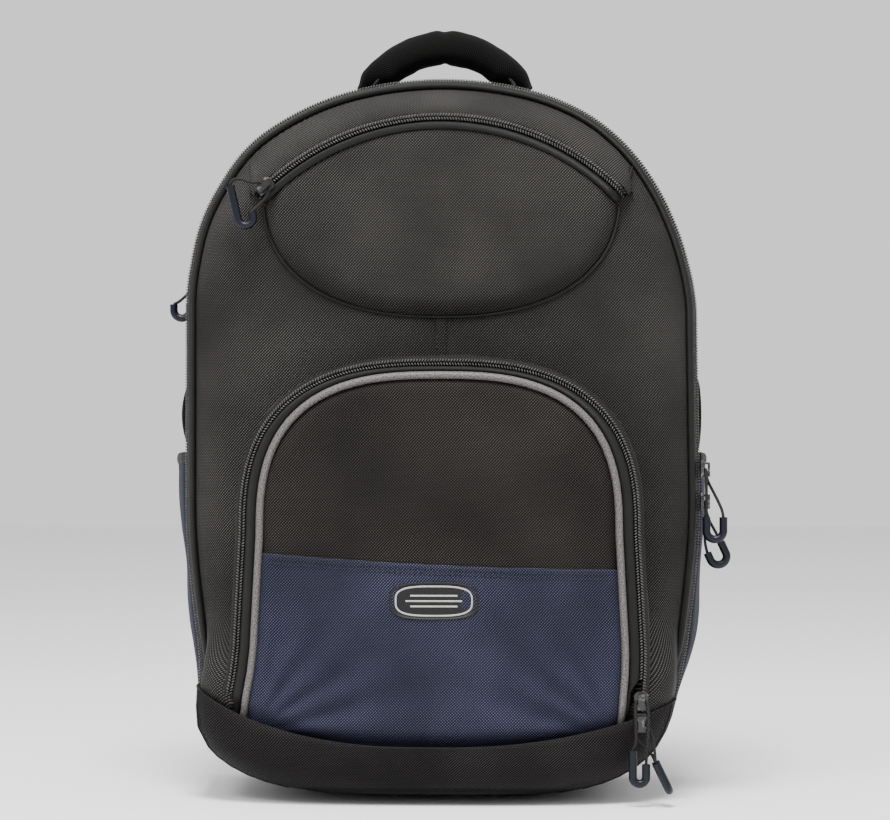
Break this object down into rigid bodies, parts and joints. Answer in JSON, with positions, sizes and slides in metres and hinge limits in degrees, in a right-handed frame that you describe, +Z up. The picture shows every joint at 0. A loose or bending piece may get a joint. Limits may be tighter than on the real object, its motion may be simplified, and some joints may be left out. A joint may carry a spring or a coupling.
{
  "type": "flight bag",
  "caption": "Soft crew backpack with an arched main compartment, a quick-access top pocket, a piped front pocket, bottle pockets, a grab handle and shoulder straps.",
  "frame": {"origin": "middle of the flat underside of the boot, on the surface the bag stands on", "axes": "+Z up, -Y to the front with the pockets, +Y to the wearer's back, +X to the right as seen from the front"},
  "size_m": [0.3786, 0.222, 0.506],
  "materials": {
    "black_polyester": "woven",
    "charcoal_polyester": "woven",
    "navy_polyester": "woven",
    "zip": "coil zip and tape",
    "webbing": "woven webbing",
    "air_mesh": "spacer mesh over foam",
    "stiffener": "plastic sheet",
    "reflective_tape": "glass-bead reflective",
    "badge_rubber": "moulded soft rubber",
    "slider_metal": "black enamel",
    "pull_cord": "braided cord",
    "grip_rubber": "moulded, satin",
    "buckle_plastic": "moulded",
    "lining": "woven lining over foam"
  },
  "bodies": {
    "bag": {"back_panel": "black_polyester", "frame_sheet": "stiffener", "back_pads": "air_mesh", "gusset_front": "black_polyester", "gusset_rear": "black_polyester", "base_panel": "black_polyester", "base_board": "stiffener", "laptop_divider": "lining", "main_zip_rear_half": "zip", "rear_zip": "zip", "side_pocket_left": "navy_polyester", "side_pocket_right": "navy_polyester", "pocket_bindings": "webbing", "side_bands": "webbing", "handle_anchors": "webbing", "shoulder_strap_left": "air_mesh", "shoulder_strap_right": "air_mesh", "strap_webbing_left": "webbing", "strap_webbing_right": "webbing", "strap_yoke": "black_polyester", "anchor_tabs": "black_polyester"},
    "lock_left": {"ladder_lock_left": "buckle_plastic"},
    "lock_right": {"ladder_lock_right": "buckle_plastic"},
    "handle": {"handle_core": "webbing", "handle_cover": "black_polyester"},
    "front_panel": {"front_wall": "charcoal_polyester", "main_zip_front_half": "zip", "top_yoke": "charcoal_polyester", "top_pocket_face": "charcoal_polyester", "top_zip_upper_half": "zip", "front_pocket_gusset": "black_polyester", "pocket_zip_outer_half": "zip", "organiser": "lining"},
    "top_lip": {"top_pocket_lip": "charcoal_polyester", "top_zip_lower_half": "zip"},
    "pocket_flap": {"pocket_panel_black": "black_polyester", "pocket_panel_navy": "navy_polyester", "reflective_piping": "reflective_tape", "pocket_zip_inner_half": "zip", "badge": "badge_rubber"},
    "slider_main_upper": {"slider_main_upper": "slider_metal"},
    "pull_main_upper": {"cord_main_upper": "pull_cord", "grip_main_upper": "grip_rubber"},
    "slider_main_lower": {"slider_main_lower": "slider_metal"},
    "pull_main_lower": {"cord_main_lower": "pull_cord", "grip_main_lower": "grip_rubber"},
    "slider_rear": {"slider_rear": "slider_metal"},
    "pull_rear": {"cord_rear": "pull_cord", "grip_rear": "grip_rubber"},
    "slider_top_pocket": {"slider_top_pocket": "slider_metal"},
    "pull_top_pocket": {"cord_top_pocket": "pull_cord", "grip_top_pocket": "grip_rubber"},
    "slider_pocket_upper": {"slider_pocket_upper": "slider_metal"},
    "pull_pocket_upper": {"cord_pocket_upper": "pull_cord", "grip_pocket_upper": "grip_rubber"},
    "slider_pocket_lower": {"slider_pocket_lower": "slider_metal"},
    "pull_pocket_lower": {"cord_pocket_lower": "pull_cord", "grip_pocket_lower": "grip_rubber"}
  },
  "joints": [
    {"name": "front_panel_open", "type": "hinge", "parent": "bag", "child": "front_panel", "pos_m": [0, -0.1, 0.038], "axis": [1, 0, 0], "range_deg": [0, 50]},
    {"name": "pocket_flap_open", "type": "hinge", "parent": "front_panel", "child": "pocket_flap", "pos_m": [0, -0.1, 0.038], "axis": [1, 0, 0], "range_deg": [0, 40]},
    {"name": "top_lip_open", "type": "hinge", "parent": "front_panel", "child": "top_lip", "pos_m": [0, -0.0615, 0.4177], "axis": [1, 0, 0], "range_deg": [0, 35]},
    {"name": "handle_flop", "type": "hinge", "parent": "bag", "child": "handle", "pos_m": [0, 0.02, 0.471], "axis": [1, 0, 0], "range_deg": [-20, 20]},
    {"name": "main_upper_slide", "type": "slide", "parent": "bag", "child": "slider_main_upper", "axis": [0, 0, 1], "range_m": [0, 0.095]},
    {"name": "main_lower_slide", "type": "slide", "parent": "bag", "child": "slider_main_lower", "axis": [0, 0, -1], "range_m": [0, 0.07]},
    {"name": "rear_slider_travel", "type": "hinge", "parent": "bag", "child": "slider_rear", "pos_m": [-0.0211, 0.041, 0.32], "axis": [0, 1, 0], "range_deg": [-7, 68]},
    {"name": "top_slider_travel", "type": "hinge", "parent": "front_panel", "child": "slider_top_pocket", "pos_m": [0, -0.0614, 0.2765], "axis": [0, 1, 0], "range_deg": [0, 86.4]},
    {"name": "pocket_upper_slide", "type": "slide", "parent": "front_panel", "child": "slider_pocket_upper", "axis": [0, 0, 1], "range_m": [0, 0.005]},
    {"name": "pocket_lower_slide", "type": "slide", "parent": "front_panel", "child": "slider_pocket_lower", "axis": [0, 0, -1], "range_m": [0, 0.006]},
    {"name": "main_upper_swing", "type": "hinge", "parent": "slider_main_upper", "child": "pull_main_upper", "pos_m": [0.1728, -0.03325, 0.214], "axis": [0, -1, 0], "range_deg": [0, 100]},
    {"name": "main_lower_swing", "type": "hinge", "parent": "slider_main_lower", "child": "pull_main_lower", "pos_m": [0.1728, -0.03325, 0.193], "axis": [0, -1, 0], "range_deg": [0, 50]},
    {"name": "rear_swing", "type": "hinge", "parent": "slider_rear", "child": "pull_rear", "pos_m": [-0.1714, 0.041, 0.34059], "axis": [0, 1, 0], "range_deg": [0, 100]},
    {"name": "top_pocket_swing", "type": "hinge", "parent": "slider_top_pocket", "child": "pull_top_pocket", "pos_m": [-0.11398, -0.0645, 0.39787], "axis": [-0.6845, 0, 0.729], "range_deg": [0, 100]},
    {"name": "pocket_upper_swing", "type": "hinge", "parent": "slider_pocket_upper", "child": "pull_pocket_upper", "pos_m": [0.129, -0.0875, 0.067], "axis": [1, 0, 0], "range_deg": [-50, 0]},
    {"name": "pocket_lower_swing", "type": "hinge", "parent": "slider_pocket_lower", "child": "pull_pocket_lower", "pos_m": [0.129, -0.0875, 0.053], "axis": [1, 0, 0], "range_deg": [-50, 0]},
    {"name": "lock_left_tilt", "type": "hinge", "parent": "bag", "child": "lock_left", "pos_m": [-0.10794, 0.0905, 0.16291], "axis": [0.9863, 0, -0.165], "range_deg": [-5, 20]},
    {"name": "lock_right_tilt", "type": "hinge", "parent": "bag", "child": "lock_right", "pos_m": [0.10794, 0.0905, 0.16291], "axis": [0.9863, 0, 0.165], "range_deg": [-5, 20]}
  ],
  "couplings": [
    {"joint": "pocket_upper_swing", "follows": "front_panel_open", "ratio": -1},
    {"joint": "pocket_lower_swing", "follows": "front_panel_open", "ratio": -1}
  ]
}
